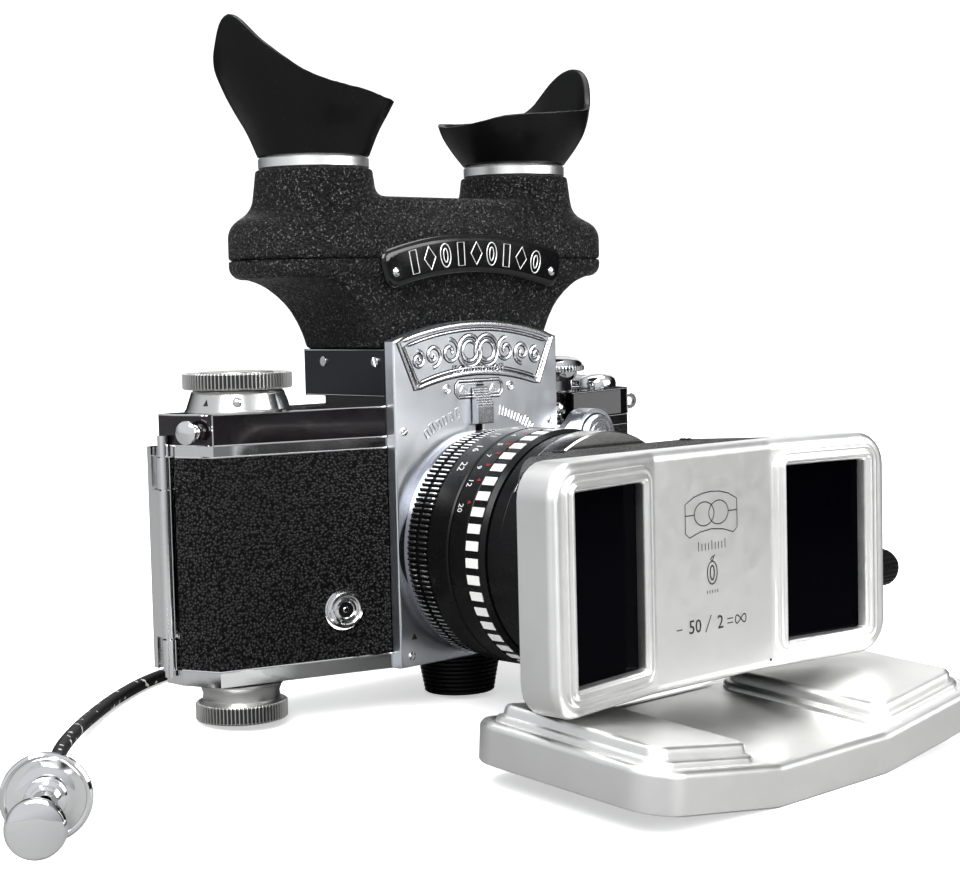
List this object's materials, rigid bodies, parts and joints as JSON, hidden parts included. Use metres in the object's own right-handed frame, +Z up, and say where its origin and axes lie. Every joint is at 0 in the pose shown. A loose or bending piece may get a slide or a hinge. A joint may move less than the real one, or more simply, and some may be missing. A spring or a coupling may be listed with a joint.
{
  "type": "stereo viewer",
  "caption": "Reflex camera with a binocular stereo finder, a stereo prism attachment on its lens, its metal cover and a cable release.",
  "frame": {"origin": "centre of the part's footprint box on the table top, the cable release left out", "axes": "+Z up from the table, +Y the way the lens looks reversed (towards the film), +X to the right seen from the front"},
  "size_m": [0.2679, 0.1776, 0.1685],
  "materials": {
    "satin_chrome": "satin",
    "chrome": "polished",
    "black_lacquer": "gloss",
    "leather": "grained",
    "black_metal": "satin",
    "grey_metal": "satin",
    "wrinkle_paint": "wrinkle",
    "satin_aluminium": "satin",
    "dark_glass": "polished",
    "glass": "polished",
    "mirror": "polished",
    "rubber": "semi-gloss",
    "braid": "braided"
  },
  "bodies": {
    "camera": {"body_casting": "chrome", "front_plate": "satin_chrome", "finder_well": "black_lacquer", "top_cover_left": "black_lacquer", "top_cover_right": "black_lacquer", "base_plate": "chrome", "leather_left": "leather", "leather_right": "leather", "strap_lugs": "chrome", "flash_socket": "chrome", "cable_socket": "chrome", "hinge_pin": "chrome", "slow_dial_base": "chrome", "support_foot": "black_metal", "focusing_screen": "glass", "lens_flange": "satin_chrome", "lens_core": "black_metal", "rear_lens": "glass", "release_arm": "satin_chrome", "cable_ferrule": "chrome", "release_cable": "braid", "cable_flange": "chrome"},
    "door": {"back_door": "chrome", "back_leather": "leather", "pressure_plate": "black_metal"},
    "door_catch": {"door_catch": "chrome"},
    "slow_dial": {"slow_dial": "chrome"},
    "speed_dial": {"speed_dial": "chrome"},
    "wind_lever": {"wind_lever": "chrome"},
    "shutter_release": {"shutter_release": "chrome"},
    "finder_catch": {"finder_catch": "chrome"},
    "rewind_knob": {"rewind_knob": "chrome"},
    "mirror": {"reflex_mirror": "mirror"},
    "aperture_ring": {"aperture_ring": "black_metal"},
    "focus_ring": {"focus_ring": "black_metal"},
    "barrel": {"front_barrel": "black_metal", "front_lens": "glass", "mount_collar": "chrome", "prism_housing": "wrinkle_paint", "front_mask": "satin_aluminium", "window_glass": "dark_glass", "stereo_prism_left": "glass", "stereo_prism_right": "glass"},
    "clamp_knob": {"clamp_knob": "black_metal"},
    "arm_button": {"arm_button": "chrome"},
    "viewer": {"viewer_foot": "grey_metal", "foot_screws": "chrome", "viewer_lower_shell": "wrinkle_paint", "viewer_upper_shell": "wrinkle_paint", "badge_plate": "black_metal", "eye_lenses": "glass", "finder_prism_left": "glass", "finder_prism_right": "glass", "eyepiece_ring_left": "satin_aluminium", "eyepiece_ring_right": "satin_aluminium"},
    "eyecup_left": {"eyecup_left": "rubber"},
    "eyecup_right": {"eyecup_right": "rubber"},
    "cover": {"front_cover": "satin_aluminium"},
    "plunger": {"cable_plunger": "chrome"}
  },
  "joints": [
    {"name": "back_door_hinge", "type": "hinge", "parent": "camera", "child": "door", "pos_m": [-0.07629, 0.05709, 0.0387], "axis": [0, 0.0767, 0.9971], "range_deg": [0, 110]},
    {"name": "door_catch_slide", "type": "slide", "parent": "camera", "child": "door_catch", "axis": [0, 0.0767, 0.9971], "range_m": [0, 0.003]},
    {"name": "slow_dial_turn", "type": "hinge", "parent": "camera", "child": "slow_dial", "pos_m": [-0.05989, 0.04921, 0.03931], "axis": [0, 0.0767, 0.9971], "range_deg": [0, 330]},
    {"name": "speed_dial_turn", "type": "hinge", "parent": "camera", "child": "speed_dial", "pos_m": [0.04211, 0.04622, 0.03954], "axis": [0, 0.0767, 0.9971], "continuous": true},
    {"name": "wind_lever_turn", "type": "hinge", "parent": "camera", "child": "wind_lever", "pos_m": [0.06411, 0.04871, 0.03935], "axis": [0, 0.0767, 0.9971], "range_deg": [0, 250], "stiffness_Nm_per_rad": 0.003},
    {"name": "arm_button_press", "type": "slide", "parent": "camera", "child": "arm_button", "axis": [0, 0.9971, -0.0767], "range_m": [0, 0.003], "stiffness_N_per_m": 200},
    {"name": "shutter_release_press", "type": "slide", "parent": "camera", "child": "shutter_release", "axis": [0, 0.9971, -0.0767], "range_m": [0, 0.003]},
    {"name": "mirror_flip", "type": "hinge", "parent": "camera", "child": "mirror", "pos_m": [0.00011, 0.05593, 0.04842], "axis": [-1, 0, 0], "range_deg": [0, 45]},
    {"name": "finder_catch_slide", "type": "slide", "parent": "camera", "child": "finder_catch", "axis": [0, -0.0767, -0.9971], "range_m": [0, 0.0014]},
    {"name": "viewer_lift", "type": "slide", "parent": "camera", "child": "viewer", "axis": [0, 0.0767, 0.9971], "range_m": [0, 0.015]},
    {"name": "rewind_knob_turn", "type": "hinge", "parent": "camera", "child": "rewind_knob", "pos_m": [-0.06089, 0.05021, 0.03923], "axis": [0, 0.0767, 0.9971], "continuous": true},
    {"name": "aperture_turn", "type": "hinge", "parent": "camera", "child": "aperture_ring", "pos_m": [0.00011, 0.02927, 0.04084], "axis": [0, -0.9971, 0.0767], "range_deg": [0, 75]},
    {"name": "focus_turn", "type": "hinge", "parent": "camera", "child": "focus_ring", "pos_m": [0.00011, 0.02927, 0.04084], "axis": [0, -0.9971, 0.0767], "range_deg": [0, 270]},
    {"name": "barrel_extend", "type": "slide", "parent": "camera", "child": "barrel", "axis": [0, -0.9971, 0.0767], "range_m": [0, 0.006]},
    {"name": "clamp_knob_turn", "type": "hinge", "parent": "barrel", "child": "clamp_knob", "pos_m": [0.05806, -0.04859, 0.03911], "axis": [1, 0, 0], "continuous": true},
    {"name": "eyecup_left_turn", "type": "hinge", "parent": "viewer", "child": "eyecup_left", "pos_m": [-0.03414, 0.05763, 0.13695], "axis": [0, 0.0767, 0.9971], "continuous": true},
    {"name": "eyecup_right_turn", "type": "hinge", "parent": "viewer", "child": "eyecup_right", "pos_m": [0.03436, 0.05763, 0.13695], "axis": [0, 0.0767, 0.9971], "continuous": true},
    {"name": "cover_slide", "type": "slide", "parent": "camera", "child": "cover", "axis": [0, -1, 0], "range_m": [0, 0.06]},
    {"name": "plunger_press", "type": "slide", "parent": "camera", "child": "plunger", "axis": [0.5775, 0.8137, -0.0656], "range_m": [0, 0.008], "stiffness_N_per_m": 60}
  ],
  "couplings": [
    {"joint": "shutter_release_press", "follows": "arm_button_press", "ratio": 1},
    {"joint": "mirror_flip", "follows": "arm_button_press", "rad_per_m": 260},
    {"joint": "barrel_extend", "follows": "focus_turn", "m_per_rad": 0.00127}
  ]
}
